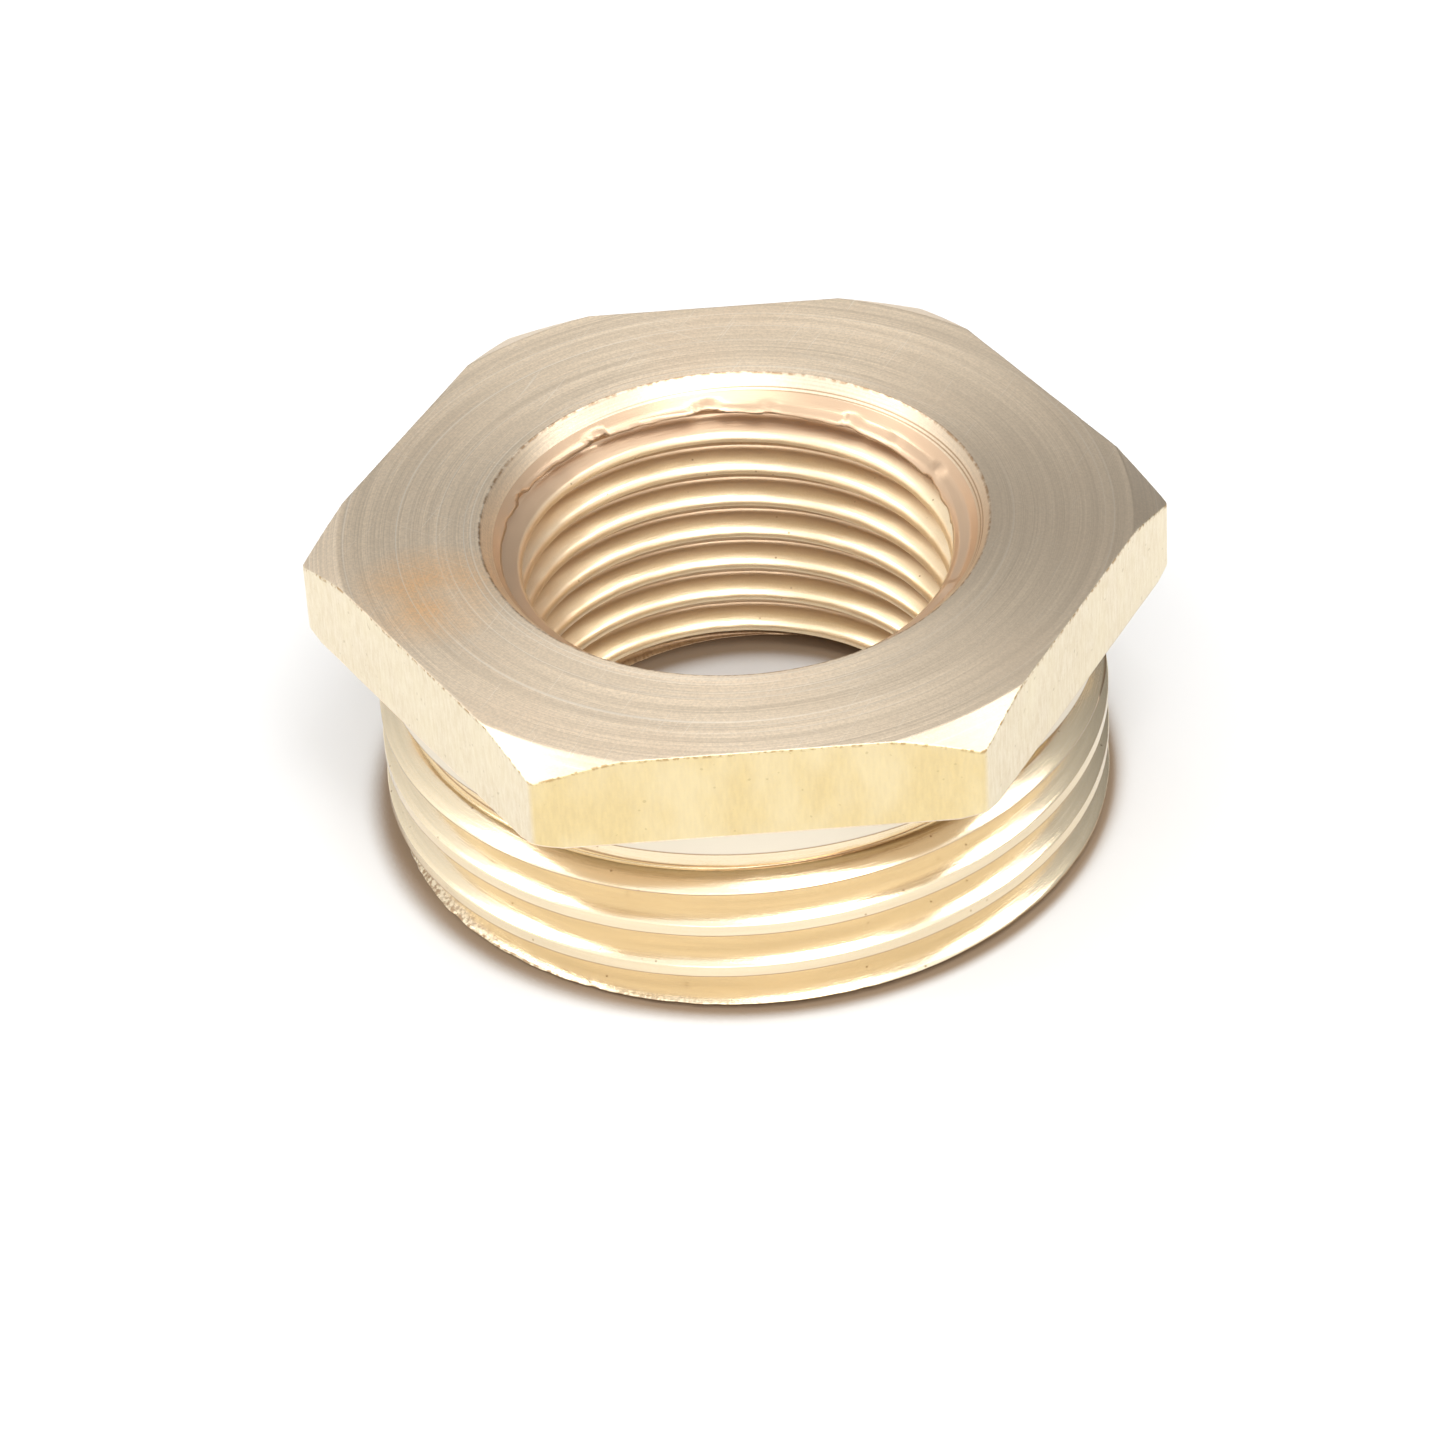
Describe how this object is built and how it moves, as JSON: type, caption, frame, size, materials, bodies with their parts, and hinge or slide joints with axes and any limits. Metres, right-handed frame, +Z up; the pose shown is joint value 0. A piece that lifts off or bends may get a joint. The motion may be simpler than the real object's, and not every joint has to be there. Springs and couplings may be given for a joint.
{
  "type": "hexagon reducing bushing",
  "caption": "Hexagon reducing bushing in brass: an outer pipe thread under a thin hexagon head, with a smaller inner pipe thread through the middle.",
  "frame": {"origin": "centre of the thread-end face, which is the face the bushing stands on", "axes": "+Z up along the thread axis, towards the hexagon head; two of the hexagon's flats face +Y and -Y, and two of its corners point along +X and -X"},
  "size_m": [0.0386, 0.0336, 0.0146],
  "materials": {
    "brass": "bright machined brass, turned faces and smooth thread flanks"
  },
  "bodies": {
    "root": {"reducing_bushing": "brass"}
  },
  "joints": []
}
